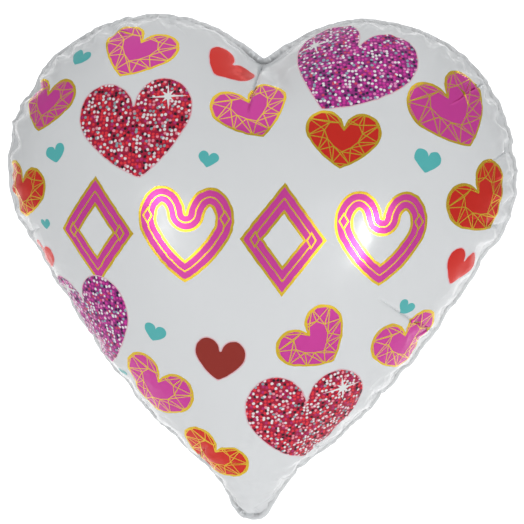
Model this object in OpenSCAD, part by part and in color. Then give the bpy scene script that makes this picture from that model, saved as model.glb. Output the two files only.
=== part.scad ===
// Heart-shaped foil balloon, inflated. Two films are heat-sealed round a heart outline,
// with a self-sealing flat valve in the neck and a filling tail folded up behind the tip.
// Frame: +Z up, -Y is the printed front, +X is the right side seen from the front.
// The origin is the fold line of the neck, just under the tip, where a ribbon is tied.

/* [Inflated body] */
// Width of the inflated body across the seam line
seam_w = 392; // [370:2:420]
// Radius of each top lobe at the seam
lobe_r = 116; // [110:1:122]
// Radius of the long side curve from lobe to tip
side_r = 330; // [300:5:360]
// Radius of the round tip at the seam
tip_r = 25; // [22:1:30]
// Height of the lobe centres above the seam at the tip
lobe_rise = 270; // [255:1:285]
// Radius of the fillet in the cleft between the lobes
notch_r = 26; // [18:1:34]
// Thickness of the inflated body, front to back
body_t = 186; // [150:2:210]

/* [Films] */
// Thickness drawn for the body film at the middle of each face
film_t = 0.6; // [0.4:0.1:1]
// Width of the heat-sealed border outside the seam
rim_w = 5; // [3:0.5:8]
// Thickness drawn for the weld layer between the two films
weld_t = 0.5; // [0.4:0.1:0.8]
// Thickness drawn for one flat film in the border and the tail
flat_t = 0.3; // [0.2:0.05:0.4]

/* [Filling tail] */
// Width of the tail
tail_w = 30; // [28:1:34]
// Length of the tail from the fold line to its end
tail_len = 62; // [50:1:66]
// Width of the weld along each side of the tail
tail_seam = 2.5; // [2:0.25:3]
// Height of the weld across the end of the tail
tail_end = 13; // [11:1:16]
// Diameter of the ribbon hole punched through the tail's end
hole_d = 5; // [4:0.5:6]
// Angle that the folded tail makes with the vertical, up behind the tip
rest_lean = 53; // [52:1:60]
// Bare crease left on each side of the fold line
crease = 1.4; // [1.3:0.1:2]
// Width of the filling slot cut in the tail's back film
slot_w = 18; // [12:1:20]
// Height of the filling slot
slot_h = 6; // [5:1:8]

/* [Self-sealing valve] */
// Width of the flat valve tube
valve_w = 24; // [20:1:24]
// Height of the valve's upper end above the fold line
valve_top = 110; // [80:5:130]
// Thickness drawn for one valve film
valve_t = 0.15; // [0.1:0.05:0.15]
// Width of the side seals of the valve channel
valve_seam = 1.5; // [1:0.25:2]
// Width of the release coating that keeps the channel from sealing shut
coat_w = 16; // [12:1:18]

/* [Hidden] */

film_white = [0.86, 0.87, 0.88];
film_silver = [0.72, 0.73, 0.75];
weld_grey = [0.62, 0.63, 0.65];
valve_clear = [0.85, 0.88, 0.92, 0.7];
coat_blue = [0.55, 0.65, 0.8];

// --- heart outline of the seam: lobe arc, side arc and tip arc, each tangent to the next ---
seam_tip_z = crease + rim_w;
lobe_x = seam_w / 2 - lobe_r;
lobe_z = seam_tip_z + lobe_rise;
tip_z = seam_tip_z + tip_r;
// centre of the side arc: side_r - lobe_r from the lobe centre, side_r - tip_r from the tip's
tip_to_lobe = norm([lobe_x, lobe_z - tip_z]);
to_lobe = side_r - lobe_r;
to_tip = side_r - tip_r;
along = (to_lobe * to_lobe - to_tip * to_tip + tip_to_lobe * tip_to_lobe) / (2 * tip_to_lobe);
across = sqrt(to_lobe * to_lobe - along * along);
down = [-lobe_x, tip_z - lobe_z] / tip_to_lobe;
side_c = [lobe_x, lobe_z] + along * down + across * [down[1], -down[0]];
notch_z = lobe_z + sqrt(pow(lobe_r + notch_r, 2) - lobe_x * lobe_x);
a_notch = atan2(lobe_z - notch_z, lobe_x);
a_lobe_top = atan2(notch_z - lobe_z, -lobe_x);
a_lobe_low = atan2(lobe_z - side_c[1], lobe_x - side_c[0]);
a_tip = atan2(tip_z - side_c[1], -side_c[0]);

notch_n = 3;
lobe_n = 36;
side_n = 20;
tip_n = 8;

function arc(c, r, a0, a1, n) =
    [for (i = [0:n - 1]) let (a = a0 + (a1 - a0) * i / n) c + r * [cos(a), sin(a)]];

// right half of the outline, from the cleft to the tip, moved outwards by off
function half_outline(off) = concat(
    arc([0, notch_z], notch_r - off, -90, a_notch, notch_n),
    arc([lobe_x, lobe_z], lobe_r + off, a_lobe_top, a_lobe_low, lobe_n),
    arc(side_c, side_r + off, a_lobe_low, a_tip, side_n),
    arc([0, tip_z], tip_r + off, a_tip, -90, tip_n));

function mirrored(pts) = [for (i = [len(pts) - 1:-1:1]) [-pts[i][0], pts[i][1]]];

function outline(off) = let (h = half_outline(off), t = [0, tip_z - tip_r - off])
    concat(h, [t], mirrored(h));

seam = outline(0);
rim = outline(rim_w);
seam_n = len(seam);

// --- height of the inflated film above the seam plane ---
// A mean of the inverse squares of the distances to the seam gives a smooth distance to the
// edge, and a power of it the rounded pillow profile.
pillow_power = 1.1;
function seam_step(i) = norm(seam[(i + 1) % seam_n] - seam[(i + seam_n - 1) % seam_n]) / 2;
steps = [for (i = [0:seam_n - 1]) seam_step(i)];
function sum(v, i = 0, s = 0) = i == len(v) ? s : sum(v, i + 1, s + v[i]);
seam_len = sum(steps);
function edge_far(p) =
    pow(sum([for (i = [0:seam_n - 1]) steps[i] / pow(norm(p - seam[i]), 2)]) / seam_len, -1 / 2);

core = [0, lobe_z - 0.28 * lobe_rise];
pillow_scale = (body_t / 2 - flat_t - weld_t / 2) / pow(edge_far(core), pillow_power);
// the valve holds the neck flat, so the pillow thins out towards the tip
neck_slim = 0.4;
neck_fade = 25;
function slimmed(z) = 1 - neck_slim * exp((seam_tip_z - z) / neck_fade);
function pillow(p) = pillow_scale * pow(edge_far(p), pillow_power) * slimmed(p[1]);

// --- grid of the body film: rings from the middle of the face to the seam ---
rings = 13;
function ring_at(j) = sin(90 * j / rings);
face_y = weld_t / 2 + flat_t;
// outer skin without the middle point: rings 1 to rings - 1, then the seam itself
skin = concat(
    [for (j = [1:rings - 1]) [for (b = seam) let (p = core + ring_at(j) * (b - core))
        [p[0], face_y + pillow(p), p[1]]]],
    [[for (b = seam) [b[0], face_y, b[1]]]]);
pole = [core[0], face_y + pillow(core), core[1]];
// the inner skin is the outer one drawn in towards the middle of the seam plane
shrink = 1 - film_t / (body_t / 2);
function drawn_in(p) = [core[0] + shrink * (p[0] - core[0]),
                        weld_t / 2 + shrink * (p[1] - face_y),
                        core[1] + shrink * (p[2] - core[1])];
border = [for (y = [face_y, weld_t / 2]) [for (b = rim) [b[0], y, b[1]]]];
inner = [for (j = [rings - 1:-1:0]) [for (p = skin[j]) drawn_in(p)]];
layers = concat(skin, border, inner);
layer_n = len(layers);

// One film of the body: dome, flat border and the hollow behind it, as a single closed skin.
module body_film() {
    flat = [for (l = layers) for (p = l) p];
    last = (layer_n - 1) * seam_n;
    walls = [for (l = [0:layer_n - 2]) for (i = [0:seam_n - 1])
        let (a = l * seam_n + i, b = l * seam_n + (i + 1) % seam_n)
        each [[a, b, a + seam_n], [b, b + seam_n, a + seam_n]]];
    caps = [for (i = [0:seam_n - 1]) let (k = (i + 1) % seam_n)
        each [[seam_n * layer_n, k, i], [seam_n * layer_n + 1, last + i, last + k]]];
    polyhedron(concat(flat, [pole, drawn_in(pole)]), concat(walls, caps), convexity = 6);
}

// flat slab in the plane of the seam, x0..x1 wide, z0..z1 high, between y0 and y1
module slab(x0, x1, z0, z1, y0, y1)
    translate([x0, y0, z0]) cube([x1 - x0, y1 - y0, z1 - z0]);

module front_panel()
    color(film_white) mirror([0, 1, 0]) body_film();

module back_panel()
    color(film_silver) body_film();

// weld layer between the two films, open where the valve passes through the neck
module rim_seal()
    color(weld_grey) rotate([90, 0, 0]) linear_extrude(weld_t, center = true)
        difference() {
            polygon(rim);
            polygon(seam);
            translate([-valve_w / 2 - 0.5, 0]) square([valve_w + 1, seam_tip_z + 3]);
        }

// --- valve: two thin films with a sealed channel, standing in the gas above the neck ---
valve_gap = 0.05;
valve_foot = crease;

module valve_film(sign, z0, z1)
    slab(-valve_w / 2, valve_w / 2, z0, z1,
         sign > 0 ? valve_gap : -valve_gap - valve_t, sign > 0 ? valve_gap + valve_t : -valve_gap);

module valve_front_film()
    color(valve_clear) valve_film(-1, valve_foot, valve_top);

module valve_back_film()
    color(valve_clear) valve_film(1, valve_foot, valve_top);

module valve_seal(x0)
    color(weld_grey) slab(x0, x0 + valve_seam, valve_foot, valve_top, -valve_gap, valve_gap);

module valve_seal_left()
    valve_seal(-valve_w / 2);

module valve_seal_right()
    valve_seal(valve_w / 2 - valve_seam);

// the coating lies on the back film's inner face and is half as thick as the channel
module valve_release_coating()
    color(coat_blue) slab(-coat_w / 2, coat_w / 2, valve_foot + 4, valve_top - 38, 0, valve_gap);

// --- tail: modelled hanging straight down from the fold line, then folded up behind ---
tail_turn = 180 - rest_lean;
tail_in = tail_w / 2 - tail_seam;
hole_z = -tail_len + tail_end / 2;

module folded()
    rotate([tail_turn, 0, 0]) children();

module ribbon_hole()
    translate([0, 0, hole_z]) rotate([90, 0, 0])
        cylinder(h = 4, d = hole_d, center = true, $fn = 48);

module tail_front_film()
    color(film_white) folded() difference() {
        slab(-tail_w / 2, tail_w / 2, -tail_len, -crease, -face_y, -weld_t / 2);
        ribbon_hole();
    }

module tail_back_film()
    color(film_silver) folded() difference() {
        slab(-tail_w / 2, tail_w / 2, -tail_len, -crease, weld_t / 2, face_y);
        ribbon_hole();
        slab(-slot_w / 2, slot_w / 2, -tail_len + tail_end + 2, -tail_len + tail_end + 2 + slot_h,
             0, 2 * face_y);
    }

module tail_side_seal(x0)
    color(weld_grey) folded()
        slab(x0, x0 + tail_seam, -tail_len + tail_end, -crease, -weld_t / 2, weld_t / 2);

module tail_side_seal_left()
    tail_side_seal(-tail_w / 2);

module tail_side_seal_right()
    tail_side_seal(tail_in);

module tail_end_seal()
    color(weld_grey) folded() difference() {
        slab(-tail_w / 2, tail_w / 2, -tail_len, -tail_len + tail_end, -weld_t / 2, weld_t / 2);
        ribbon_hole();
    }

// lower part of the valve, whose mouth ends just above the filling slot
inlet_foot = -tail_len + tail_end + 2 + slot_h;

module inlet_front_film()
    color(valve_clear) folded() valve_film(-1, inlet_foot, -crease);

module inlet_back_film()
    color(valve_clear) folded() valve_film(1, inlet_foot, -crease);

front_panel();
back_panel();
rim_seal();
valve_front_film();
valve_back_film();
valve_seal_left();
valve_seal_right();
valve_release_coating();
tail_front_film();
tail_back_film();
tail_side_seal_left();
tail_side_seal_right();
tail_end_seal();
inlet_front_film();
inlet_back_film();
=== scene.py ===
"""Heart-shaped foil balloon: the looks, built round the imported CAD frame.

The two films are cut flat, sealed along a heart outline and inflated by a small seeded
cloth solver, so the pillow shape, the scalloped border and the puckers come from the
same cause as on the real balloon. The print is laid out on the flat front film in
millimetres and carried on to the inflated surface.
"""
import math

import bpy
import numpy as np
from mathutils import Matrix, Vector
from mathutils.bvhtree import BVHTree
from mathutils.geometry import delaunay_2d_cdt


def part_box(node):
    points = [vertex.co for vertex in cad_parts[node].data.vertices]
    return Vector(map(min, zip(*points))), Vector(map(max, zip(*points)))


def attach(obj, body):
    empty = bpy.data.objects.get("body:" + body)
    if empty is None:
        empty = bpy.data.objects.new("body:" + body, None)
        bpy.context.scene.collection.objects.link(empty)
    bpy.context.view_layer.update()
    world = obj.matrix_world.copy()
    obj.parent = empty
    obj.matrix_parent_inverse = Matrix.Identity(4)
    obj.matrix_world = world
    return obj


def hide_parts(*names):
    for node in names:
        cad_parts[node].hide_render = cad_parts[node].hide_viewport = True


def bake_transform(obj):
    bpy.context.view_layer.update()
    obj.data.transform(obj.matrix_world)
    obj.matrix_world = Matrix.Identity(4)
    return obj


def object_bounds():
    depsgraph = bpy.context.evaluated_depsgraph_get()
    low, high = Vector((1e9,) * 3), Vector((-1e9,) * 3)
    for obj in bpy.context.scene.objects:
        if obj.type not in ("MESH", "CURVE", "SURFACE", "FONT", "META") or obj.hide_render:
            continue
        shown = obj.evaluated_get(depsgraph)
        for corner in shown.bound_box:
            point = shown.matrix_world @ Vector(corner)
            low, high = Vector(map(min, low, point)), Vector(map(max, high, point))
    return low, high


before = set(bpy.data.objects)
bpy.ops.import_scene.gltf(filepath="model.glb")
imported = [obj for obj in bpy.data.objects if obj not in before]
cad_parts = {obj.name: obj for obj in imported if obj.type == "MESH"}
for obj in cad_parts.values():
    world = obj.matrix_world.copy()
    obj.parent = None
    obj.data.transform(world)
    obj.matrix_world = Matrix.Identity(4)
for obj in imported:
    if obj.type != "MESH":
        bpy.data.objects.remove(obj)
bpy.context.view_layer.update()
scene = bpy.context.scene
MM = 0.001

# Every random draw is seeded. The seeds of the film mesh and the dents were picked.
SEEDS = dict(film_mesh=19, dents=11, first_shape=4, creases=21, front_grid=11, back_grid=12,
             tail_grid=5)

# ------------------------ flat film, millimetres
FLAT_HEART = dict(width=452.0, lobe_r=150.0, lobe_z=37.0, side_r=470.0,
                  tip_r=34.0, tip_z=-254.0, notch_r=7.0)
RIM_W = 5.0                                     # heat-sealed border outside the seam
PRINT_HEART = dict(width=3.99, lobe_r=1.0, lobe_z=0.0, side_r=4.6,
                   tip_r=0.04, tip_z=-2.03, notch_r=0.01)

SIM_STEP = 4.0           # edge length of the simulated film
SIM_STEPS = 3600
PRINT_STEP = 2.4         # edge length of the film that is shown
PRINT_CLEAR = 0.7 * PRINT_STEP                  # its grid keeps this far from the seam
PRINT_JITTER = 0.03                             # unevenness of its grid, as a share of a step


def arc(cx, cz, r, a0, a1, n):
    """Points on an arc between two angles in degrees."""
    a = np.radians(np.linspace(a0, a1, n + 1))
    return np.column_stack([cx + r * np.cos(a), cz + r * np.sin(a)])


def heart(width, lobe_r, lobe_z, side_r, tip_r, tip_z, notch_r, off=0.0, fine=1.0):
    """Closed outline of a heart from tangent arcs, moved outwards by off."""
    lobe_x, round_z = width / 2 - lobe_r, tip_z + tip_r
    reach = math.hypot(lobe_x, round_z - lobe_z)
    to_lobe, to_tip = side_r - lobe_r, side_r - tip_r
    along = (to_lobe ** 2 - to_tip ** 2 + reach ** 2) / (2 * reach)
    across = math.sqrt(to_lobe ** 2 - along ** 2)
    dx, dz = -lobe_x / reach, (round_z - lobe_z) / reach
    side_x, side_z = lobe_x + along * dx + across * dz, lobe_z + along * dz - across * dx
    notch_z = lobe_z + math.sqrt((lobe_r + notch_r) ** 2 - lobe_x ** 2)
    a_top = math.degrees(math.atan2(notch_z - lobe_z, -lobe_x))
    a_low = math.degrees(math.atan2(lobe_z - side_z, lobe_x - side_x))
    a_tip = math.degrees(math.atan2(round_z - side_z, -side_x))
    a_notch = math.degrees(math.atan2(lobe_z - notch_z, lobe_x))

    def n(k):
        return max(2, int(round(k * fine)))

    half = np.vstack([arc(0, notch_z, max(notch_r - off, 1e-3), -90, a_notch, n(6)),
                      arc(lobe_x, lobe_z, lobe_r + off, a_top, a_low, n(60))[1:],
                      arc(side_x, side_z, side_r + off, a_low, a_tip, n(50))[1:],
                      arc(0, round_z, tip_r + off, a_tip, -90, n(12))[1:]])
    return np.vstack([half, half[1:-1][::-1] * [-1, 1]])


def closed_lengths(line):
    """The line with its first point again at the end, and the length up to each point."""
    ring = np.vstack([line, line[:1]])
    return ring, np.concatenate([[0], np.cumsum(np.hypot(*(ring[1:] - ring[:-1]).T))])


def resample(line, count):
    """The closed line with count points, evenly spaced."""
    ring, s = closed_lengths(line)
    t = np.linspace(0, s[-1], count, endpoint=False)
    return np.column_stack([np.interp(t, s, ring[:, 0]), np.interp(t, s, ring[:, 1])])


def inside(points, line):
    """Whether each point lies inside a closed line."""
    x, z = points.T
    found = np.zeros(len(points), bool)
    for (x1, z1), (x2, z2) in zip(line, np.roll(line, 1, axis=0)):
        if z1 != z2:
            found ^= ((z1 > z) != (z2 > z)) & (x < (x2 - x1) * (z - z1) / (z2 - z1) + x1)
    return found


def from_segment(points, a, b):
    """How far along the segment each point lies, from 0 to 1, and how far off it."""
    ab = b - a
    t = np.clip(((points - a) @ ab) / (ab @ ab), 0, 1)
    return t, np.hypot(*(points - (a + t[:, None] * ab)).T)


def edge_gap(points, line):
    """Distance of each point from a closed line."""
    gap = np.full(len(points), 1e9)
    for a, b in zip(line, np.roll(line, -1, axis=0)):
        gap = np.minimum(gap, from_segment(points, a, b)[1])
    return gap


def grid_in(line, step, clear, rng, jitter=0.08):
    """Points of a triangular grid inside a closed line, at least clear away from it."""
    (x0, z0), (x1, z1) = line.min(0), line.max(0)
    rows = []
    for k, z in enumerate(np.arange(z0, z1, step * math.sqrt(3) / 2)):
        x = np.arange(x0 + (step / 2 if k % 2 else 0), x1, step)
        rows.append(np.column_stack([x, np.full(len(x), z)]))
    grid = np.vstack(rows)
    grid = grid[inside(grid, line)]
    grid = grid[edge_gap(grid, line) > clear]
    return grid + rng.normal(0, step * jitter, grid.shape)


def signed_area(line):
    """Area inside a closed line, positive if the line runs counter-clockwise."""
    ahead = np.roll(line, -1, axis=0)
    return 0.5 * (line[:, 0] * ahead[:, 1] - ahead[:, 0] * line[:, 1]).sum()


def twice_areas(points, tris):
    """Twice the area of each triangle, positive if it runs counter-clockwise."""
    a, b, c = points[tris[:, 0]], points[tris[:, 1]], points[tris[:, 2]]
    return (b[:, 0] - a[:, 0]) * (c[:, 1] - a[:, 1]) - (b[:, 1] - a[:, 1]) * (c[:, 0] - a[:, 0])


def counter_clockwise(points, tris):
    """The triangles turned counter-clockwise, without those that have no area."""
    area = twice_areas(points, tris)
    return np.where(area[:, None] < 0, tris[:, ::-1], tris)[np.abs(area) > 1e-9]


# ------------------------ inflating the two films
def pinched(line):
    """The outline with its tip drawn in to a rounded neck."""
    DRAWN_IN, LEVEL, SPREAD = 0.13, -222.0, 14.0
    share = 1 / (1 + np.exp((line[:, 1] - LEVEL) / SPREAD))
    return np.column_stack([line[:, 0] * (1 - DRAWN_IN * share), line[:, 1]])


def film_mesh(step):
    """Two films that share their sealed border: flat places, layers and triangles."""
    rng = np.random.default_rng(SEEDS["film_mesh"])
    outline = pinched(heart(**FLAT_HEART))
    count = int(round(closed_lengths(outline)[1][-1] / step))
    seam = resample(outline, count)
    rim = resample(pinched(heart(off=RIM_W, **FLAT_HEART)), count)
    points = np.vstack([seam, rim, grid_in(seam, step, 0.6 * step, rng)])
    ring = range(count)
    edges = [(i, (i + 1) % count) for i in ring] + [(count + i, count + (i + 1) % count) for i in ring]
    out = delaunay_2d_cdt([Vector(p) for p in points], edges, [list(range(count, 2 * count))], 1, 1e-6)
    tris = counter_clockwise(points, np.array([list(f) for f in out[2]]))
    dome = inside(points[tris].mean(1), seam)
    total, free = len(points), np.arange(2 * count, len(points))
    twin = np.arange(total)
    twin[free] = total + np.arange(len(free))
    layer = np.zeros(total + len(free))
    layer[free], layer[total:] = -1, 1
    return dict(flat=np.vstack([points, points[free]]), layer=layer, step=step, seam=seam,
                front=tris[dome], back=twin[tris[dome]][:, ::-1], border=tris[~dome],
                rim=np.arange(2 * count), count=count)


def dents(seam, pitch=19.0, depth=2.8):
    """Places along the seam where puckers start: points, inward directions and depths."""
    rng = np.random.default_rng(SEEDS["dents"])
    ring, s = closed_lengths(seam)

    def on_seam(at):
        return np.column_stack([np.interp(at, s, ring[:, k]) for k in (0, 1)])

    count = int(round(s[-1] / pitch))
    at = (np.arange(count) + 0.5 + rng.uniform(-0.25, 0.25, count)) * s[-1] / count
    here = on_seam(at)
    along = on_seam(at + 1) - here
    inward = np.column_stack([-along[:, 1], along[:, 0]]) / np.hypot(*along.T)[:, None]
    inward *= np.sign(((seam.mean(0) - here) * inward).sum(1))[:, None]
    return here, inward, depth * rng.uniform(0.6, 1.4, count)


def first_shape(m):
    """A shallow pillow with small inward dents along the border."""
    DOME, SLOPE, UNEVEN, DENT_R = 20.0, 60.0, 0.3, 6.0
    rng = np.random.default_rng(SEEDS["first_shape"])
    flat, seam = m["flat"], m["seam"]
    rise = np.sqrt(np.clip(edge_gap(flat, seam) / SLOPE, 0, 1))
    y = m["layer"] * DOME * rise + rng.normal(0, UNEVEN, len(flat))
    X = np.column_stack([flat[:, 0], y, flat[:, 1]])
    for place, inward, depth in zip(*dents(seam)):
        push = depth * np.exp(-((flat - place) ** 2).sum(1) / (2 * DENT_R ** 2))
        X[:, 0] += push * inward[0]
        X[:, 2] += push * inward[1]
    return X


def edges_of(*tris):
    """Every edge of the triangles once."""
    T = np.vstack(tris)
    pairs = np.sort(np.vstack([T[:, [0, 1]], T[:, [1, 2]], T[:, [2, 0]]]), axis=1)
    return np.unique(pairs, axis=0)


def hinges_of(T):
    """The two far corners of each pair of triangles that share an edge."""
    half = np.vstack([T[:, [0, 1, 2]], T[:, [1, 2, 0]], T[:, [2, 0, 1]]])
    low, high = half[:, :2].min(1), half[:, :2].max(1)
    key = low.astype(np.int64) * (T.max() + 1) + high
    order = np.argsort(key, kind="stable")
    key, half = key[order], half[order]
    k = np.nonzero(key[1:] == key[:-1])[0]
    return half[k, 2], half[k + 1, 2]


def gathered(n, index, force):
    """The sum of the vectors that fall on each of n points."""
    return np.column_stack([np.bincount(index, force[:, k], n) for k in range(3)])


def inflate(m, steps):
    """Damped explicit relaxation: film that hardly stretches, gives a little in
    compression and bends easily, under gas pressure, with its border near one plane."""
    STRAIN, CURVE_R = 0.01, 33.0        # the gas stretches film of this radius by this much
    SQUEEZE, BEND = 0.3, 0.1            # stiffness against squeezing and folding
    DAMP, HOLD = 0.985, 0.5             # speed kept in a step, and hold on the border's plane
    NEIGHBOURS, STABLE = 6, 0.55        # edges at a point, and share of the longest stable step
    SLOW_EVERY = 4                      # pressure and folding are worked out every so many steps
    X = first_shape(m)
    flat, n = m["flat"], len(X)
    sheets = [m["front"], m["back"], m["border"]]
    E = edges_of(*sheets)
    i, j = E.T.copy()
    rest = np.hypot(*(flat[j] - flat[i]).T)
    a, b = hinges_of(np.vstack(sheets))
    bend_rest = np.hypot(*(flat[b] - flat[a]).T)
    same_side = (np.abs(m["layer"][a] - m["layer"][b]) < 2) & (bend_rest > 1e-3)
    a, b, bend_rest = a[same_side], b[same_side], bend_rest[same_side]
    T = np.vstack(sheets[:2])
    t0, t1, t2 = T.T.copy()
    corners = np.concatenate([t0, t1, t2])
    ends, tips = np.concatenate([i, j]), np.concatenate([a, b])
    pressure = STRAIN / (CURVE_R * m["step"])
    stiff = 1.0 / rest.mean()
    dt2 = STABLE / (NEIGHBOURS * stiff)
    V = np.zeros_like(X)
    slow = None
    for step in range(steps):
        d = X[j] - X[i]
        length = np.sqrt(np.einsum("ij,ij->i", d, d))
        strain = length / rest - 1
        d *= (np.where(strain > 0, strain, SQUEEZE * strain) / length)[:, None]
        F = gathered(n, ends, np.vstack([d, -d]))
        if step % SLOW_EVERY == 0:
            A = X[t0]
            push = np.cross(X[t1] - A, X[t2] - A) * (pressure / 6)
            slow = gathered(n, corners, np.vstack([push, push, push]))
            d = X[b] - X[a]
            length = np.sqrt(np.einsum("ij,ij->i", d, d))
            d *= (np.minimum(length / bend_rest - 1, 0) * BEND / length)[:, None]
            slow += gathered(n, tips, np.vstack([d, -d]))
        F += slow
        F[m["rim"], 1] -= HOLD * stiff * X[m["rim"], 1]
        V = V * DAMP + F * dt2
        X = X + V
    return X


def calmed(m, X, passes=2):
    """Takes out the jitter of single vertices without shrinking the shape: each pass
    smooths it and then swells it back."""
    SMOOTH, SWELL = 0.5, -0.52
    E = edges_of(m["front"], m["back"], m["border"])
    both = np.concatenate([E[:, 0], E[:, 1]])
    other = np.concatenate([E[:, 1], E[:, 0]])
    degree = np.bincount(both, minlength=len(X))[:, None]
    free = np.ones(len(X), bool)
    free[m["rim"]] = False
    for _ in range(passes):
        for share in (SMOOTH, SWELL):
            X = X + (share * (gathered(len(X), both, X[other]) / degree - X)) * free[:, None]
    return X


def curled(m, X):
    """The sealed border bends back from the seam, except at the tip and in the cleft."""
    CURL, FLAT_HALF, FADE = math.radians(55), 8.0, 18.0
    seam, rim = np.arange(m["count"]), np.arange(m["count"]) + m["count"]
    share = np.clip((np.abs(m["flat"][rim, 0]) - FLAT_HALF) / FADE, 0, 1)
    out = X[rim] - X[seam]
    length = np.sqrt((out ** 2).sum(1))[:, None]
    angle = (CURL * share)[:, None]
    X[rim] = X[seam] + out * np.cos(angle) + length * np.sin(angle) * [0, 1, 0]
    return X


def fitted(m, X):
    """The inflated film brought to the CAD's place and width, keeping its proportions."""
    TIP_DROP = 1.2                              # the round tip hides the fold of the neck
    rim_lo, rim_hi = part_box("rim_seal")
    used = np.unique(np.concatenate([m[k].ravel() for k in ("front", "back", "border")]))
    lo, hi = X[used].min(0), X[used].max(0)
    scale = (rim_hi.x - rim_lo.x) / MM / (hi[0] - lo[0])
    tip_z = X[m["rim"]][:, 2].min()
    return (X - [(lo[0] + hi[0]) / 2, 0, tip_z]) * scale - [0, 0, TIP_DROP]


film = film_mesh(SIM_STEP)
shape = calmed(film, inflate(film, SIM_STEPS))
shape = fitted(film, curled(film, shape))


# ------------------------ carrying flat to inflated
def sheet_normals(points, tris):
    """Normal of a sheet at each of its points, from the triangles round it."""
    P = points[tris]
    face = np.cross(P[:, 1] - P[:, 0], P[:, 2] - P[:, 0])
    normal = gathered(len(points), tris.ravel(), np.repeat(face, 3, axis=0))
    length = np.sqrt((normal ** 2).sum(1))[:, None]
    return normal / np.where(length > 0, length, 1)


class Skin:
    """One sheet of the inflated film: takes flat places to smooth places and normals."""

    def __init__(self, tris):
        self.tris = tris
        self.flat = film["flat"]
        self.normal = sheet_normals(shape, tris)
        places = [Vector((x, z, 0)) for x, z in self.flat]
        self.tree = BVHTree.FromPolygons(places, tris.tolist())

    def at(self, points):
        found = [self.tree.find_nearest(Vector((x, z, 0)))[2] for x, z in points]
        T = self.tris[found]
        A, B, C = (self.flat[T[:, k]] for k in range(3))
        u, v, w = B - A, C - A, points - A
        den = u[:, 0] * v[:, 1] - v[:, 0] * u[:, 1]
        s = (w[:, 0] * v[:, 1] - v[:, 0] * w[:, 1]) / den
        t = (u[:, 0] * w[:, 1] - w[:, 0] * u[:, 1]) / den
        bary = np.column_stack([1 - s - t, s, t])
        P = [shape[T[:, k]] for k in range(3)]
        N = [self.normal[T[:, k]] for k in range(3)]
        normal = sum(bary[:, k:k + 1] * N[k] for k in range(3))
        normal /= np.sqrt((normal ** 2).sum(1))[:, None]
        return curved_patch(P, N, bary), normal


def curved_patch(P, N, bary):
    """Point on a cubic patch through three corners that follows their normals."""

    def third(i, j):
        drop = ((P[j] - P[i]) * N[i]).sum(1)[:, None] * N[i]
        return (2 * P[i] + P[j] - drop) / 3

    pairs = [(0, 1), (1, 0), (1, 2), (2, 1), (2, 0), (0, 2)]
    near = {p: third(*p) for p in pairs}
    middle = sum(near.values()) / 6
    centre = middle + (middle - (P[0] + P[1] + P[2]) / 3) / 2
    w = [bary[:, k:k + 1] for k in range(3)]
    point = sum(P[k] * w[k] ** 3 for k in range(3)) + 6 * centre * w[0] * w[1] * w[2]
    return point + sum(3 * near[i, j] * w[i] ** 2 * w[j] for i, j in pairs)


front_skin = Skin(film["front"])
back_skin = Skin(film["back"])

# ------------------------ creases, flat millimetres
LONG_CREASES = [  # from, to, depth, width
    ((0, 176), (-7, 86), 6.0, 0.8),
    ((-3, 168), (-34, 176), 4.0, 0.8),
    ((170, -100), (92, -48), 5.0, 0.7),
    ((186, 124), (146, 96), 4.2, 0.7),
    ((218, 68), (176, 52), 3.6, 0.7),
    ((216, -2), (158, 12), 4.0, 0.7),
    ((-212, -22), (-176, -8), 3.0, 0.8),
    ((-52, -204), (-36, -176), 2.6, 0.8),
    ((66, -196), (46, -168), 3.6, 0.8)]


def rim_creases():
    """Creases that run inwards from some of the puckers, with the long ones added."""
    SHORT, SHORT_SHARE, LONG = (9, 22), 0.8, (25, 42)
    SWING, DEPTH, KEPT_SHARE, WIDTH = 0.25, (0.35, 0.9), 0.6, 1.2
    rng = np.random.default_rng(SEEDS["creases"])
    rows = [(np.array(a, float), np.array(b, float), d, w) for a, b, d, w in LONG_CREASES]
    for place, inward, _ in zip(*dents(film["seam"])):
        reach = rng.uniform(*SHORT) if rng.random() < SHORT_SHARE else rng.uniform(*LONG)
        turn = rng.normal(0, SWING)
        deep = rng.uniform(*DEPTH)
        if rng.random() < KEPT_SHARE:
            c, s = math.cos(turn), math.sin(turn)
            swung = np.array([c * inward[0] - s * inward[1], s * inward[0] + c * inward[1]])
            rows.append((place, place + reach * swung, deep, WIDTH))
    return rows


creases = rim_creases()


def crease_depth(flat):
    """How far the film dips at each flat place: less towards a crease's end and the seam."""
    TAPER, SEAM_FADE = 0.6, 5
    total = np.zeros(len(flat))
    for a, b, deep, width in creases:
        t, gap = from_segment(flat, a, b)
        total = np.maximum(total, deep * (1 - t) ** TAPER * np.exp(-gap / width))
    return total * np.clip(edge_gap(flat, film["seam"]) / SEAM_FADE, 0, 1)


def with_crease_points(grid):
    """The grid with closer rows of points along each crease."""
    ROWS, PITCH = (-1.9, -0.9, -0.4, 0.0, 0.4, 0.9, 1.9), 1.6
    GRID_GAP, SEAM_GAP = 2.4, 1.0
    rows = []
    for a, b, _, _ in creases:
        grid = grid[edge_gap(grid, np.array([a, b])) > GRID_GAP]
        length = math.hypot(*(b - a))
        side = np.array([a[1] - b[1], b[0] - a[0]]) / length
        t = np.linspace(0.1, 1, max(3, int(length / PITCH)))[:, None]
        rows += [a + t * (b - a) + side * off for off in ROWS]
    extra = np.vstack(rows)
    clear = edge_gap(extra, film["seam"]) > SEAM_GAP
    return np.vstack([grid, extra[inside(extra, film["seam"]) & clear]])


# ------------------------ the print
# Each print is a closed outline on the flat front film, in millimetres, with the ink that
# fills it. Later outlines lie over earlier ones.
BARE = -1                                       # in place of an ink: bare film
INKS = ["gold", "magenta", "red", "dark_red", "teal", "pale", "glitter_red", "glitter_pink", "white"]
prints = []


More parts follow.
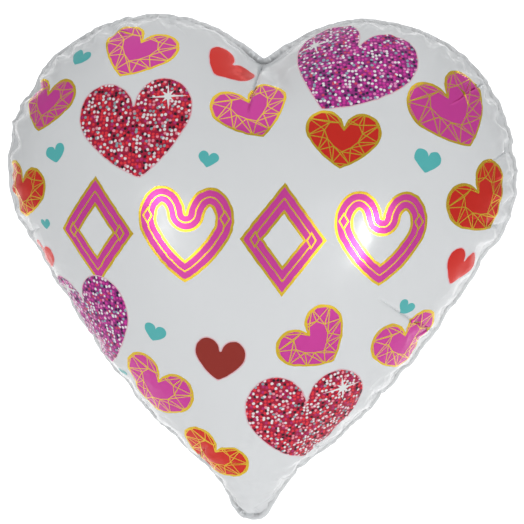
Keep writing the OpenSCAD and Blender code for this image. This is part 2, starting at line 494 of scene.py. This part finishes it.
def placed(line, x, z, size, turn, tall):
    """A print outline in its own units, scaled, stretched and turned on the film."""
    a = math.radians(turn)
    c, s = math.cos(a), math.sin(a)
    u, v = line[:, 0] * size, line[:, 1] * size * tall
    return np.column_stack([x + u * c - v * s, z + u * s + v * c])


def inset(line, by):
    """The outline moved inwards by a fixed distance, without the loops at sharp corners."""
    KEPT = 0.97                                 # points nearer than this share are in a loop
    along = np.roll(line, -1, axis=0) - np.roll(line, 1, axis=0)
    normal = np.column_stack([along[:, 1], -along[:, 0]]) / np.hypot(*along.T)[:, None]
    moved = line - normal * by * np.sign(signed_area(line))
    return moved[inside(moved, line) & (edge_gap(moved, line) > KEPT * by)]


def bar(p, q, width):
    """A thin straight line of ink."""
    d = (q - p) / np.hypot(*(q - p))
    side = np.array([-d[1], d[0]]) * width / 2
    return np.array([p - side, q - side, q + side, p + side])


def ink(line, name):
    """Adds an outline, turned counter-clockwise; name None wipes back to bare film."""
    turned = line if signed_area(line) > 0 else line[::-1]
    prints.append((turned, BARE if name is None else INKS.index(name)))


def print_heart(x, z, width, turn, tall, fine):
    """A heart with its notch near x, z; fine sets how many points it has."""
    unit = width / PRINT_HEART["width"]
    return placed(heart(fine=fine, **PRINT_HEART), x, z, unit, turn, tall)


def plain_heart(x, z, width, turn, tall, name, edge=0.9):
    """Flat heart; the red ones have a thin pale edge."""
    line = print_heart(x, z, width, turn, tall, fine=0.35)
    if name != "teal":
        ink(line, "pale")
        line = inset(line, edge)
    ink(line, name)


def glitter_heart(x, z, width, turn, tall, name, star, edge=0.8):
    """Glitter heart with a pale edge and a white star."""
    RAYS, STAR_R, STAR_TURN = [1.0, 0.16, 0.42, 0.16, 0.72, 0.16, 0.42, 0.16] * 2, 0.17, 8
    line = print_heart(x, z, width, turn, tall, fine=0.6)
    ink(line, "pale")
    ink(inset(line, edge), name)
    a = np.radians(np.arange(len(RAYS)) * 360 / len(RAYS) + STAR_TURN)
    r = np.array(RAYS) * STAR_R * width
    ink(np.column_stack([star[0] + r * np.cos(a), star[1] + r * np.sin(a)]), "white")


def gem_heart(x, z, width, turn, tall, name, edge=1.6, line_w=0.7, corners=12):
    """Cut-gem heart: gold edge, a net of gold facet lines and a plain heart in the middle."""
    TABLE_DROP, TABLE_SIZE, CROWN_SIZE = 0.18, [0.5, 0.52], 0.985
    unit = width / PRINT_HEART["width"]
    outer = print_heart(x, z, width, turn, tall, fine=0.6)
    ink(outer, "gold")
    ink(inset(outer, edge), name)
    crown = resample(heart(**PRINT_HEART), 2 * corners)
    notch = crown[0] + [0, -TABLE_DROP]
    table = notch + (crown[::2] - crown[0]) * TABLE_SIZE
    crown = placed(crown * CROWN_SIZE, x, z, unit, turn, tall)
    table = placed(table, x, z, unit, turn, tall)
    for k in range(corners):
        before, after = crown[2 * k - 1], crown[(2 * k + 1) % len(crown)]
        ink(bar(table[k - 1], table[k], line_w), "gold")
        ink(bar(table[k], before, line_w), "gold")
        ink(bar(table[k], after, line_w), "gold")
        ink(bar(crown[2 * k], crown[(2 * k + 2) % len(crown)], line_w), "gold")
        if k:
            ink(bar(before, after, line_w), "gold")
        if k > 1:
            ink(bar(table[k], crown[2 * k - 3], line_w), "gold")


def lozenge(x, z, width, height):
    w, h = width / 2, height / 2
    return np.array([[x, z - h], [x + w, z], [x, z + h], [x - w, z]])


def open_frame(outer, band, studs, edge=1.9, rule=1.0):
    """Open ornament: a magenta band with gold edges, a gold rule and small lozenges."""
    ink(outer, "gold")
    ink(inset(outer, edge), "magenta")
    ink(inset(outer, 0.5 * (band - rule)), "gold")
    ink(inset(outer, 0.5 * (band + rule)), "magenta")
    ink(inset(outer, band - edge), "gold")
    ink(inset(outer, band), None)
    for x, z in studs:
        ink(lozenge(x, z, *STUD), "gold")
        ink(lozenge(x, z, *STUD_CORE), "magenta")


def ornament(x, width, kind):
    """One open heart or open lozenge of the row."""
    if kind == "heart":
        outer = print_heart(x, ROW_Z + HEART_UP, width, turn=0, tall=1.3, fine=1.2)
        stud_x, stud_z = width / 2 - BAND / 2, ROW_Z + HEART_UP + 1
    else:
        outer = resample(lozenge(x, ROW_Z, width, ROW_H), 160)
        stud_x, stud_z = width / 2 - LOZENGE_STUD, ROW_Z
    open_frame(outer, BAND, [(x - stud_x, stud_z), (x + stud_x, stud_z)])


GEMS = [  # x and z of the notch, width, turn, height factor, ink
    (-98, 144, 62, -17, 1.08, "magenta"),
    (-7, 98, 60, 23, 1.06, "magenta"),
    (-170, 98, 56, -8, 1.05, "magenta"),
    (146, 102, 71, 25, 1.12, "magenta"),
    (-74, -124, 63, -26, 1.18, "magenta"),
    (43, -76, 56, 43, 1.02, "magenta"),
    (123, -85, 63, 14, 1.12, "magenta"),
    (-192, 28, 57, -12, 1.05, "red"),
    (64, 74, 56, -6, 1.0, "red"),
    (172, 30, 64, 38, 1.1, "red"),
    (-29, -181, 60, -27, 1.02, "red")]
GLITTERS = [  # x and z of the notch, width, turn, height factor, ink, place of the star
    (-92, 84, 88, 10, 1.13, "glitter_red", (-68, 97)),
    (44, -135, 96, 4, 1.17, "glitter_red", (72, -123)),
    (78, 144, 99, -29, 1.22, "glitter_pink", (46, 159)),
    (-140, -72, 92, 12, 1.18, "glitter_pink", (-163, -62))]
PLAINS = [  # x and z of the notch, width, turn, height factor, ink
    (-25, 142, 44, -32, 1.05, "red"),
    (-182, -31, 32, -8, 1.05, "red"),
    (168, -26, 38, -20, 1.1, "red"),
    (-22, -91, 39, -6, 1.15, "dark_red"),
    (-147, 133, 20, -22, 1.0, "teal"),
    (-155, 53, 18, 16, 1.0, "teal"),
    (-33, 52, 15, -10, 1.0, "teal"),
    (-168, -3, 11, 5, 1.0, "teal"),
    (127, 55, 22, -12, 1.0, "teal"),
    (-72, -78, 18, -16, 1.0, "teal"),
    (-116, -130, 11, 10, 1.0, "teal"),
    (119, -57, 15, -30, 1.0, "teal")]
ORNAMENTS = [  # x of the middle, width, kind
    (-118, 62, "lozenge"), (-48, 70, "heart"), (22, 62, "lozenge"), (93, 70, "heart")]
ROW_Z, ROW_H, BAND = -6.0, 82.0, 13.5           # the row's middle, its height, width of a band
HEART_UP, LOZENGE_STUD = 13, 11
STUD, STUD_CORE = (8.0, 13.0), (5.0, 8.5)       # width and height of the small lozenges

for draw, rows in ((ornament, ORNAMENTS), (gem_heart, GEMS), (glitter_heart, GLITTERS),
                   (plain_heart, PLAINS)):
    for row in rows:
        draw(*row)


def printed_sheet():
    """The flat front film cut along every print outline: points, triangles, ink of each."""
    LINE_GAP = 0.45                             # the grid keeps this far from every outline
    rng = np.random.default_rng(SEEDS["front_grid"])
    seam = resample(film["seam"], 2 * film["count"])
    seam[::2] = film["seam"]
    grid = grid_in(seam, PRINT_STEP, PRINT_CLEAR, rng, PRINT_JITTER)
    grid = with_crease_points(grid)
    points, faces = list(seam), [list(range(len(seam)))[::-1]]
    clear = np.ones(len(grid), bool)
    for line, _ in prints:
        first = len(points)
        points += list(line)
        faces.append(list(range(first, first + len(line))))
        near = np.nonzero(((grid > line.min(0) - 1) & (grid < line.max(0) + 1)).all(1))[0]
        clear[near] &= edge_gap(grid[near], line) > LINE_GAP
    points += list(grid[clear])
    out = delaunay_2d_cdt([Vector(p) for p in points], [], faces, 0, 1e-3)
    flat = np.array([list(v) for v in out[0]])
    kept = [(tri, of) for tri, of in zip(out[2], out[5]) if 0 in of]
    tris = np.array([list(tri) for tri, _ in kept])
    inks = np.array([prints[max(of) - 1][1] if max(of) else BARE for _, of in kept])
    area = twice_areas(flat, tris)
    return flat, np.where(area[:, None] < 0, tris[:, ::-1], tris), inks


# ------------------------ meshes
def mesh_piece(name, points, tris, normals=None, flat=None):
    """A mesh object in metres from points in millimetres, with only the points it uses."""
    keep, index = np.unique(tris.ravel(), return_inverse=True)
    index = index.reshape(tris.shape)
    mesh = bpy.data.meshes.new(name)
    mesh.from_pydata((points[keep] * MM).tolist(), [], index.tolist())
    mesh.update()
    mesh.polygons.foreach_set("use_smooth", [True] * len(mesh.polygons))
    if flat is not None:
        uv = mesh.uv_layers.new(name="flat")
        lo, span = flat[keep].min(0), np.ptp(flat[keep], axis=0).max()
        uv.data.foreach_set("uv", ((flat[keep] - lo) / span)[index.ravel()].ravel())
        mesh["flat_mm"] = float(span)
    if normals is not None:
        mesh.normals_split_custom_set_from_vertices(normals[keep].tolist())
    piece = bpy.data.objects.new(name, mesh)
    scene.collection.objects.link(piece)
    return piece


def dress(piece, material):
    """Gives a piece of the balloon's body its material and attaches it to that body."""
    piece.data.materials.append(material)
    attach(piece, "balloon")


def outer_edges(tris):
    """Directed edges that belong to one triangle only."""
    half = np.vstack([tris[:, [0, 1]], tris[:, [1, 2]], tris[:, [2, 0]]])
    key = np.sort(half, axis=1)
    _, first, counts = np.unique(key, axis=0, return_index=True, return_counts=True)
    return half[first[counts == 1]]


def slab(top, under, tris):
    """A closed solid between two sheets that share their triangles."""
    n = len(top)
    edge = outer_edges(tris)
    wall = np.vstack([np.column_stack([edge[:, 1], edge[:, 0], edge[:, 0] + n]),
                      np.column_stack([edge[:, 1], edge[:, 0] + n, edge[:, 1] + n])])
    return np.vstack([top, under]), np.vstack([tris, tris[:, ::-1] + n, wall])


def thin_solid(name, front_side, back_side, tris, front_look, back_look, normals=None):
    """A thin closed piece with sharp edges, one material in front and one on the rest."""
    points, faces = slab(front_side, back_side, tris)
    piece = mesh_piece(name, points, faces, normals)
    used = np.unique(faces)
    edge = np.searchsorted(used, outer_edges(tris))
    sharp = {tuple(sorted(e)) for pair in (edge, edge + len(used) // 2) for e in pair.tolist()}
    for e in piece.data.edges:
        e.use_edge_sharp = tuple(sorted(e.vertices)) in sharp
    piece.data.materials.append(front_look)
    piece.data.materials.append(back_look)
    looks = [0] * len(tris) + [1] * (len(faces) - len(tris))
    piece.data.polygons.foreach_set("material_index", looks)
    return piece


# ------------------------ materials
def material(name):
    """A new material with its node tree and its shader."""
    m = bpy.data.materials.new(name)
    m.use_nodes = True
    return m, m.node_tree, m.node_tree.nodes["Principled BSDF"]


def set_shader(bsdf, **values):
    """Sets the shader's own sockets to constants: base_color is its Base Color, and so on."""
    for key, value in values.items():
        socket = bsdf.inputs[key.replace("_", " ").title().replace("Ior", "IOR")]
        socket.default_value = (*value, 1.0) if isinstance(value, tuple) else value


def node(tree, kind, **values):
    """A new node with its inputs or its settings set."""
    made = tree.nodes.new(kind)
    for key, value in values.items():
        if key in made.inputs:
            made.inputs[key].default_value = value
        else:
            setattr(made, key, value)
    return made


def ranged(tree, source, before, after, **kind):
    """The output of source, mapped from one range to another."""
    made = node(tree, "ShaderNodeMapRange", **kind)
    for side, (low, high) in (("From ", before), ("To ", after)):
        made.inputs[side + "Min"].default_value = low
        made.inputs[side + "Max"].default_value = high
    tree.links.new(source, made.inputs["Value"])
    return made.outputs["Result"]


def film_grain(tree, bsdf, rough, spread, crease):
    """Slightly uneven gloss and the faint crinkle of thin film under tension."""
    BROAD_SCALE, SMALL_SCALE, SMALL_SHARE, DEPTH = 55.0, 420.0, 0.12, 0.0006
    place = node(tree, "ShaderNodeTexCoord")
    broad = node(tree, "ShaderNodeTexNoise", Scale=BROAD_SCALE, Detail=5.0, Roughness=0.55)
    small = node(tree, "ShaderNodeTexNoise", Scale=SMALL_SCALE, Detail=3.0, Roughness=0.5)
    for noise in (broad, small):
        tree.links.new(place.outputs["Object"], noise.inputs["Vector"])
    gloss = ranged(tree, broad.outputs["Fac"], (0.3, 0.7), (rough - spread, rough + spread))
    tree.links.new(gloss, bsdf.inputs["Roughness"])
    height = node(tree, "ShaderNodeMath", operation="MULTIPLY_ADD")
    height.inputs[1].default_value = SMALL_SHARE
    tree.links.new(small.outputs["Fac"], height.inputs[0])
    tree.links.new(broad.outputs["Fac"], height.inputs[2])
    bump = node(tree, "ShaderNodeBump", Strength=crease, Distance=DEPTH)
    tree.links.new(height.outputs["Value"], bump.inputs["Height"])
    tree.links.new(bump.outputs["Normal"], bsdf.inputs["Normal"])


def film_material(name, color, metallic, rough, spread=0.04, crease=0.25, **more):
    """Film or ink on film."""
    m, tree, bsdf = material(name)
    set_shader(bsdf, base_color=color, metallic=metallic, **more)
    film_grain(tree, bsdf, rough, spread, crease)
    return m


def glitter_material(name, span, ground, tints):
    """Printed glitter: close-set round dots in mixed tints on a dark ground. The texture's
    own unit is the span in millimetres."""
    DOT = 2.8
    m, tree, bsdf = material(name)
    set_shader(bsdf, metallic=0.2, specular_ior_level=0.3)
    place = node(tree, "ShaderNodeUVMap", uv_map="flat")
    cells = node(tree, "ShaderNodeTexVoronoi", voronoi_dimensions="2D", Randomness=0.75)
    cells.inputs["Scale"].default_value = span / DOT
    tree.links.new(place.outputs["UV"], cells.inputs["Vector"])
    pick = node(tree, "ShaderNodeSeparateColor")
    tree.links.new(cells.outputs["Color"], pick.inputs["Color"])
    ramp = node(tree, "ShaderNodeValToRGB")
    ramp.color_ramp.interpolation = "CONSTANT"
    share = 0.0
    for k, (tint, part) in enumerate(tints):
        stop = ramp.color_ramp.elements[k] if k < 2 else ramp.color_ramp.elements.new(share)
        stop.position, stop.color = share, (*tint, 1)
        share += part
    tree.links.new(pick.outputs["Red"], ramp.inputs["Fac"])
    in_dot = ranged(tree, cells.outputs["Distance"], (0.36, 0.44), (1.0, 0.0),
                    interpolation_type="SMOOTHSTEP")
    mix = node(tree, "ShaderNodeMix", data_type="RGBA")
    mix.inputs["A"].default_value = (*ground, 1)
    tree.links.new(in_dot, mix.inputs["Factor"])
    tree.links.new(ramp.outputs["Color"], mix.inputs["B"])
    tree.links.new(mix.outputs["Result"], bsdf.inputs["Base Color"])
    gloss = ranged(tree, pick.outputs["Green"], (0.0, 1.0), (0.15, 0.45))
    tree.links.new(gloss, bsdf.inputs["Roughness"])
    return m


white_film = film_material("white_film", (0.79, 0.81, 0.825), 0.0, 0.17, 0.03, 0.2,
                           specular_ior_level=0.4)
silver_film = film_material("silver_film", (0.76, 0.77, 0.79), 1.0, 0.16, crease=0.35)
seal_film = film_material("seal_film", (0.66, 0.68, 0.69), 0.8, 0.3, crease=0.6)

# ------------------------ film and print pieces
PRINT_LIFT = 0.05                               # the inks lie this far above the film

flat, sheet_tris, sheet_inks = printed_sheet()
place, normal = front_skin.at(flat)
place = place - normal * crease_depth(flat)[:, None]
normal = sheet_normals(place, sheet_tris)
front = mesh_piece("front_film", place, sheet_tris, normal, flat)
dress(front, white_film)
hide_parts("front_panel")

FILM_INKS = [  # piece, ink, slot, material, colour, metallic, roughness, reflection
    ("print_gold", "gold", "ink_gold", "gold_ink", (0.86, 0.60, 0.05), 0.85, 0.2, 0.5),
    ("print_magenta", "magenta", "ink_magenta", "magenta_ink", (0.71, 0.062, 0.39), 0.3, 0.2, 0.3),
    ("print_red", "red", "ink_red", "red_ink", (0.74, 0.03, 0.02), 0.35, 0.22, 0.3),
    ("print_dark_red", "dark_red", "ink_red", "dark_red_ink", (0.34, 0.03, 0.02), 0.4, 0.2, 0.5),
    ("print_teal", "teal", "ink_teal", "teal_ink", (0.09, 0.50, 0.50), 0.0, 0.35, 0.5),
    ("print_pale_edges", "pale", "ink_sparkle", "pale_ink", (0.80, 0.55, 0.60), 0.2, 0.3, 0.5),
    ("print_sparkles", "white", "ink_sparkle", "sparkle_ink", (0.86, 0.88, 0.88), 0.0, 0.3, 0.5)]
RED_TINTS = [  # colour of a dot, share of the dots
    ((0.90, 0.84, 0.86), 0.27), ((0.86, 0.04, 0.06), 0.27), ((0.90, 0.32, 0.40), 0.13),
    ((0.03, 0.01, 0.02), 0.16), ((0.30, 0.42, 0.46), 0.08), ((0.50, 0.03, 0.18), 0.09)]
PINK_TINTS = [
    ((0.90, 0.86, 0.90), 0.20), ((0.70, 0.04, 0.38), 0.29), ((0.86, 0.28, 0.58), 0.14),
    ((0.03, 0.01, 0.06), 0.17), ((0.28, 0.42, 0.50), 0.10), ((0.70, 0.06, 0.14), 0.10)]
GLITTER_INKS = [  # piece, ink, ground colour, tints
    ("print_glitter_red", "glitter_red", (0.42, 0.012, 0.05), RED_TINTS),
    ("print_glitter_pink", "glitter_pink", (0.32, 0.02, 0.22), PINK_TINTS)]


def print_mesh(name, key):
    """All of one ink, just above the film."""
    tris = sheet_tris[sheet_inks == INKS.index(key)]
    return mesh_piece(name, place + normal * PRINT_LIFT, tris, normal, flat)


for name, key, slot, look, color, metallic, rough, reflection in FILM_INKS:
    piece = print_mesh(name, key)
    dress(piece, film_material(look, color, metallic, rough, specular_ior_level=reflection))
for name, key, ground, tints in GLITTER_INKS:
    piece = print_mesh(name, key)
    dress(piece, glitter_material(key, piece.data["flat_mm"], ground, tints))


def back_sheet():
    """The plain silver film behind."""
    rng = np.random.default_rng(SEEDS["back_grid"])
    seam = film["seam"]
    grid = grid_in(seam, PRINT_STEP, PRINT_CLEAR, rng, PRINT_JITTER)
    flat = np.vstack([seam, with_crease_points(grid)])
    out = delaunay_2d_cdt([Vector(p) for p in flat], [], [list(range(len(seam)))], 1, 1e-6)
    tris = counter_clockwise(flat, np.array([list(f) for f in out[2]]))
    place, normal = back_skin.at(flat)
    place = place - normal * crease_depth(flat)[:, None]
    back = mesh_piece("back_film", place, tris[:, ::-1], -sheet_normals(place, tris), flat)
    dress(back, silver_film)
    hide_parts("back_panel")


def sealed_border():
    """Both films fused: white in front and silver behind. Its front is lit like the film
    beside it, so that no band shows."""
    HALF_THICK = 0.1
    normal = sheet_normals(shape, film["border"])
    front_look = normal.copy()
    seam = np.arange(film["count"])
    for ring in (seam, seam + film["count"]):
        front_look[ring] = front_skin.normal[seam]
    lift = normal * HALF_THICK
    rim = thin_solid("rim_seal_band", shape + lift, shape - lift, film["border"],
                     white_film, silver_film, np.vstack([front_look, -normal]))
    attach(rim, "balloon")
    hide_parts("rim_seal")


back_sheet()
sealed_border()

# ------------------------ filling tail, folded up behind
LEAN = math.radians(53.0)
ALONG = np.array([0, math.sin(LEAN), math.cos(LEAN)])       # from the fold to the tail's end
OUTWARD = np.array([0, math.cos(LEAN), -math.sin(LEAN)])    # away from the balloon
TAIL_LEN, TAIL_SEAM, TAIL_END = 62.0, 2.5, 13.0             # length, side seals, end seal
HOLE_AT, HOLE_R, SLOT_AT, SLOT_HALF = 55.5, 2.5, (41.0, 47.0), 9.0
FOLD_GAP = 1.4                                              # bare film beside the fold line


def narrowed(s, at_fold, full, run):
    """Half of a width that grows smoothly from the fold to its full size."""
    t = np.clip(s / run, 0, 1)
    return at_fold + (full - at_fold) * t * t * (3 - 2 * t)


def tail_half_width(s):
    return narrowed(s, 7.0, 15.0, 18)


def valve_half_width(s):
    return narrowed(s, 4.3, 12.0, 22)


def coat_half_width(s):
    return np.minimum(8.0, valve_half_width(s) - 2.0)


def band_outline(half, start, end, step=2.0):
    """Closed outline between two stations, half as wide as the function tells."""
    s = np.linspace(start, end, max(3, int((end - start) / step)))
    right = np.column_stack([half(s), s])
    return np.vstack([right, right[::-1] * [-1, 1]])


def edge_strip(half, start, end, width, side, count):
    """Closed outline of a seal along one side, -1 left or 1 right."""
    s = np.linspace(start, end, count)
    w = half(s)
    line = np.vstack([np.column_stack([w, s]), np.column_stack([w - width, s])[::-1]])
    return line * [side, 1]


def ring(x, s, r, count=28):
    a = np.radians(np.arange(count) * 360 / count)
    return np.column_stack([x + r * np.cos(a), s + r * np.sin(a)])


def oblong(half, s0, s1):
    return np.array([[-half, s0], [half, s0], [half, s1], [-half, s1]], float)


def tail_place(flat, height):
    """Flat tail places (across, along) to the folded tail, at a height off its mid-plane."""
    return np.outer(flat[:, 0], [1, 0, 0]) + np.outer(flat[:, 1], ALONG) + np.outer(height, OUTWARD)


def valve_place(flat, height):
    """Flat valve places (across, up from the fold) inside the balloon."""
    return np.column_stack([flat[:, 0], height, flat[:, 1]])


def tail_puff(flat):
    """The channel between the side seals stands a little open and is faintly crinkled."""
    OPEN, CRINKLE, FADE = 0.7, 0.7, 8
    x, s = flat.T
    across = np.clip(1 - (x / (tail_half_width(s) - TAIL_SEAM)) ** 2, 0, 1)
    along = np.clip(s / FADE, 0, 1) * np.clip((TAIL_LEN - TAIL_END - s) / FADE, 0, 1)
    crinkle = 0.3 * np.sin(0.9 * s + 0.35 * x) + 0.25 * np.sin(0.47 * s - 0.6 * x)
    return across * along * (OPEN + CRINKLE * crinkle)


def tail_curl(flat):
    """Slow wave of the whole tail, nothing at the fold."""
    CURL, FADE = 0.3, 25
    x, s = flat.T
    return CURL * np.clip(s / FADE, 0, 1) * np.sin(x / 9 + s / 17)


def cut_sheet(outline, holes, step=1.6):
    """Points and triangles of a flat piece of film with holes cut out."""
    rng = np.random.default_rng(SEEDS["tail_grid"])
    grid = grid_in(outline, step, 0.5 * step, rng, 0.02)
    points = list(outline[::-1] if signed_area(outline) < 0 else outline)
    faces = [list(range(len(points)))]
    for hole in holes:
        grid = grid[~inside(grid, hole) & (edge_gap(grid, hole) > 0.4 * step)]
        first = len(points)
        points += list(hole)
        faces.append(list(range(first, first + len(hole))))
    points += list(grid)
    out = delaunay_2d_cdt([Vector(p) for p in points], [], faces, 0, 1e-4)
    flat = np.array([list(v) for v in out[0]])
    tris = np.array([list(t) for t, of in zip(out[2], out[5]) if list(of) == [0]])
    return flat, counter_clockwise(flat, tris)


def sheet_piece(name, node_name, body, place, outline, holes, low, high, looks, bulge=None):
    """A thin flat piece of film in place of a CAD node, between two heights off its mid-plane."""
    flat, tris = cut_sheet(outline, holes)
    base = bulge(flat) if bulge else np.zeros(len(flat))
    piece = thin_solid(name, place(flat, base + high), place(flat, base + low), tris, *looks)
    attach(piece, body)
    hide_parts(node_name)


def tail_piece(name, node_name, outline, holes, low, high, puff, looks):
    """A piece of the tail: puff is 1 for the sheet in front, -1 behind and 0 for a seal."""
    sheet_piece(name, node_name, "tail", tail_place, outline, holes, low, high, looks,
                lambda flat: tail_curl(flat) + puff * tail_puff(flat))


SEAL_HALF, FILM_NEAR, FILM_FAR = 0.25, 0.28, 0.42           # heights off the tail's mid-plane
SEALS = (seal_film, seal_film)
whole_tail = band_outline(tail_half_width, FOLD_GAP, TAIL_LEN, 1.5)
end_band = band_outline(tail_half_width, TAIL_LEN - TAIL_END, TAIL_LEN, 1.5)
ribbon_hole = ring(0, HOLE_AT, HOLE_R)
filling_slot = oblong(SLOT_HALF, *SLOT_AT)
tail_piece("tail_film_front", "tail_front_film", whole_tail, [ribbon_hole],
           FILM_NEAR, FILM_FAR, 1, (white_film, silver_film))
tail_piece("tail_film_back", "tail_back_film", whole_tail, [ribbon_hole, filling_slot],
           -FILM_FAR, -FILM_NEAR, -1, (silver_film, silver_film))
for part, side in (("left", -1), ("right", 1)):
    strip = edge_strip(tail_half_width, FOLD_GAP, TAIL_LEN - TAIL_END, TAIL_SEAM, side, 40)
    tail_piece("tail_seal_" + part, "tail_side_seal_" + part, strip, [],
               -SEAL_HALF, SEAL_HALF, 0, SEALS)
tail_piece("tail_seal_end", "tail_end_seal", end_band, [ribbon_hole],
           -SEAL_HALF, SEAL_HALF, 0, SEALS)


def fold_station(s):
    """The middle of the neck's films and the way out of the bend, at a distance s along them
    from the fold line. They bend within TURN of it, and the bend cuts the corner there."""
    BEHIND, TURN, CUT_ABOVE, CUT_BELOW = 0.45, 1.2, 0.4, 0.2
    if s <= -TURN:
        return np.array([0, BEHIND, -s - CUT_ABOVE]), np.array([0, -1.0, 0])
    if s >= TURN:
        return ALONG * (s - CUT_BELOW), OUTWARD
    share = (s + TURN) / (2 * TURN)
    angle = (math.pi - LEAN) * share
    start = np.array([0, BEHIND, TURN - CUT_ABOVE])
    middle = start * (1 - share) ** 2 + ALONG * share ** 2
    return middle, np.array([0, -math.cos(angle), -math.sin(angle)])


def neck_fold():
    """Both films of the neck from the tip of the border round the fold into the tail."""
    REACH, STATIONS, ACROSS, HALF_THICK = 6.0, 25, 13, 0.22
    top, under = [], []
    for s in np.linspace(-REACH, REACH, STATIONS):
        centre, outward = fold_station(s)
        width = tail_half_width(max(s, 0.0))
        for x in np.linspace(-width, width, ACROSS):
            top.append([x, *(centre + outward * HALF_THICK)[1:]])
            under.append([x, *(centre - outward * HALF_THICK)[1:]])
    corners = [r * ACROSS + c for r in range(STATIONS - 1) for c in range(ACROSS - 1)]
    tris = []
    for a in corners:
        b, d = a + 1, a + ACROSS
        c = d + 1
        tris += [(a, c, b), (a, d, c)]
    piece = thin_solid("neck_fold", np.array(top), np.array(under), np.array(tris),
                       white_film, silver_film)
    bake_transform(piece)


neck_fold()

# ------------------------ valve, narrowed at the fold
clear_film = film_material("valve_clear", (0.85, 0.88, 0.90), 0.0, 0.25, alpha=0.6)
coat = film_material("release_coat", (0.45, 0.58, 0.78), 0.0, 0.6)
CLEAR = (clear_film, clear_film)
VALVE_TOP, VALVE_SEAM, COAT_FOOT, COAT_TOP = 110.0, 1.5, 5.4, 72.0
VALVE_NEAR, VALVE_FAR = 0.05, 0.2                           # heights off the valve's mid-plane

valve_line = band_outline(valve_half_width, FOLD_GAP, VALVE_TOP)
inlet_line = band_outline(valve_half_width, FOLD_GAP, SLOT_AT[0])
coat_line = band_outline(coat_half_width, COAT_FOOT, COAT_TOP)
for part, low, high in (("front", -VALVE_FAR, -VALVE_NEAR), ("back", VALVE_NEAR, VALVE_FAR)):
    sheet_piece("valve_sheet_" + part, "valve_" + part + "_film", "balloon", valve_place,
                valve_line, [], low, high, CLEAR)
    sheet_piece("inlet_sheet_" + part, "inlet_" + part + "_film", "tail", tail_place,
                inlet_line, [], -high, -low, CLEAR)
for part, side in (("left", -1), ("right", 1)):
    strip = edge_strip(valve_half_width, FOLD_GAP, VALVE_TOP, VALVE_SEAM, side, 56)
    sheet_piece("valve_edge_" + part, "valve_seal_" + part, "balloon", valve_place,
                strip, [], -VALVE_NEAR, VALVE_NEAR, CLEAR)
sheet_piece("valve_coat", "valve_release_coating", "balloon", valve_place,
            coat_line, [], 0.0, VALVE_NEAR, (coat, coat))

# ------------------------ camera, light and floor
AZIMUTH, ELEVATION, ROLL = math.radians(3.0), math.radians(5.0), math.radians(1.5)
DISTANCE, LENS = 1.48, 129.2
AIM_RIGHT, AIM_UP = 0.003, 0.0070               # off the middle of the balloon
lo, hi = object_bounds()
aim = Vector((AIM_RIGHT, 0.0, (lo.z + hi.z) / 2 + AIM_UP))
view_back = Vector((math.sin(AZIMUTH) * math.cos(ELEVATION),
                    -math.cos(AZIMUTH) * math.cos(ELEVATION),
                    math.sin(ELEVATION)))
camera = bpy.data.objects.new("camera", bpy.data.cameras.new("camera"))
camera.data.lens = LENS
camera.location = aim + view_back * DISTANCE
camera.rotation_euler = (-view_back).to_track_quat("-Z", "Y").to_euler()
camera.rotation_euler.rotate_axis("Z", ROLL)
scene.collection.objects.link(camera)
scene.camera = camera


def softbox(name, place, target, wide, tall, power):
    """A rectangular area light that faces its target."""
    light = bpy.data.lights.new(name, "AREA")
    light.shape = "RECTANGLE"
    light.size = wide
    light.size_y = tall
    light.energy = power
    lamp = bpy.data.objects.new(name, light)
    lamp.location = Vector(place)
    lamp.rotation_euler = (Vector(target) - lamp.location).to_track_quat("-Z", "Y").to_euler()
    scene.collection.objects.link(lamp)


softbox("strip_right", (1.00, -1.72, -0.02), aim, 0.12, 0.50, 6.0)
softbox("softbox_right", (0.76, -1.88, 0.02), aim, 0.75, 0.95, 2.8)
softbox("strip_left", (-0.95, -1.74, 0.17), aim, 0.12, 0.60, 2.2)
softbox("softbox_left", (-0.82, -1.80, 0.12), aim, 0.45, 0.75, 2.4)
softbox("softbox_top", (0.0, -0.1, 1.80), aim, 2.0, 2.0, 6.0)
softbox("backdrop_light", (0.0, 0.9, 1.6), (0.0, 2.6, 0.25), 3.0, 1.0, 60)

AMBIENT = 0.395
world = bpy.data.worlds.new("studio")
world.use_nodes = True
sky = world.node_tree.nodes["Background"]
sky.inputs["Color"].default_value = (1, 1, 1, 1)
sky.inputs["Strength"].default_value = AMBIENT
scene.world = world
scene.view_settings.view_transform = "Standard"


def backdrop():
    """Pale studio sweep: a floor that curves up into a wall behind the balloon."""
    FLOOR_Z, FRONT, WALL, TOP, HALF = -0.35, -6.0, 2.6, 5.0, 6.0
    BEND_R, BENDS = 1.2, 12
    profile = [(FRONT, FLOOR_Z)]
    for k in range(BENDS + 1):
        a = math.radians(90 * k / BENDS)
        profile.append((WALL - BEND_R + BEND_R * math.sin(a),
                        FLOOR_Z + BEND_R - BEND_R * math.cos(a)))
    profile.append((WALL, TOP))
    points = [(x, y, z) for y, z in profile for x in (-HALF, HALF)]
    faces = [(2 * k, 2 * k + 1, 2 * k + 3, 2 * k + 2) for k in range(len(profile) - 1)]
    mesh = bpy.data.meshes.new("studio_sweep")
    mesh.from_pydata(points, [], faces)
    mesh.polygons.foreach_set("use_smooth", [True] * len(faces))
    sweep = bpy.data.objects.new("studio_sweep", mesh)
    paint, _, bsdf = material("sweep_paint")
    set_shader(bsdf, base_color=(0.93, 0.93, 0.93), roughness=0.9)
    mesh.materials.append(paint)
    scene.collection.objects.link(sweep)


backdrop()
